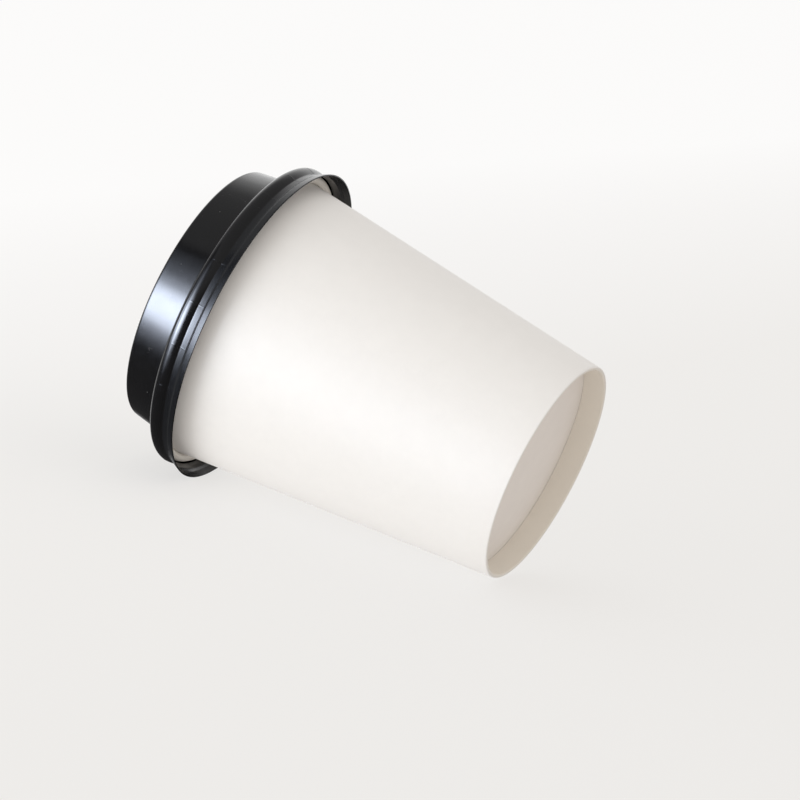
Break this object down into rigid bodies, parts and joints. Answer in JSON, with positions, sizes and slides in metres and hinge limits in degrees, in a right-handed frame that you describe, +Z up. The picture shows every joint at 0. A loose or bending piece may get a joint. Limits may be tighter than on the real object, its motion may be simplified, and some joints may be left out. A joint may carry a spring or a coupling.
{
  "type": "paper coffee cup",
  "caption": "Plain white single-wall paper cup for hot drinks, with a black travel lid that is pressed onto the rim and lifts off upwards.",
  "frame": {"origin": "centre of the foot ring, on the surface that the cup stands on", "axes": "+Z up along the cup's axis through the centre of the lid; the seam lies at 290 degrees and the drinking slot at 170 degrees from +X, turning towards +Y"},
  "size_m": [0.0836, 0.0836, 0.1009],
  "materials": {
    "wall_board": "coated board, soft satin white",
    "bottom_board": "coated board, matt warm white",
    "lid_sheet": "glossy thermoformed black sheet"
  },
  "bodies": {
    "cup": {"sidewall": "wall_board", "bottom_disc": "bottom_board"},
    "lid": {"lid": "lid_sheet"}
  },
  "joints": [
    {"name": "lid_lift", "type": "slide", "parent": "cup", "child": "lid", "axis": [0, 0, 1], "range_m": [0, 0.025]}
  ]
}
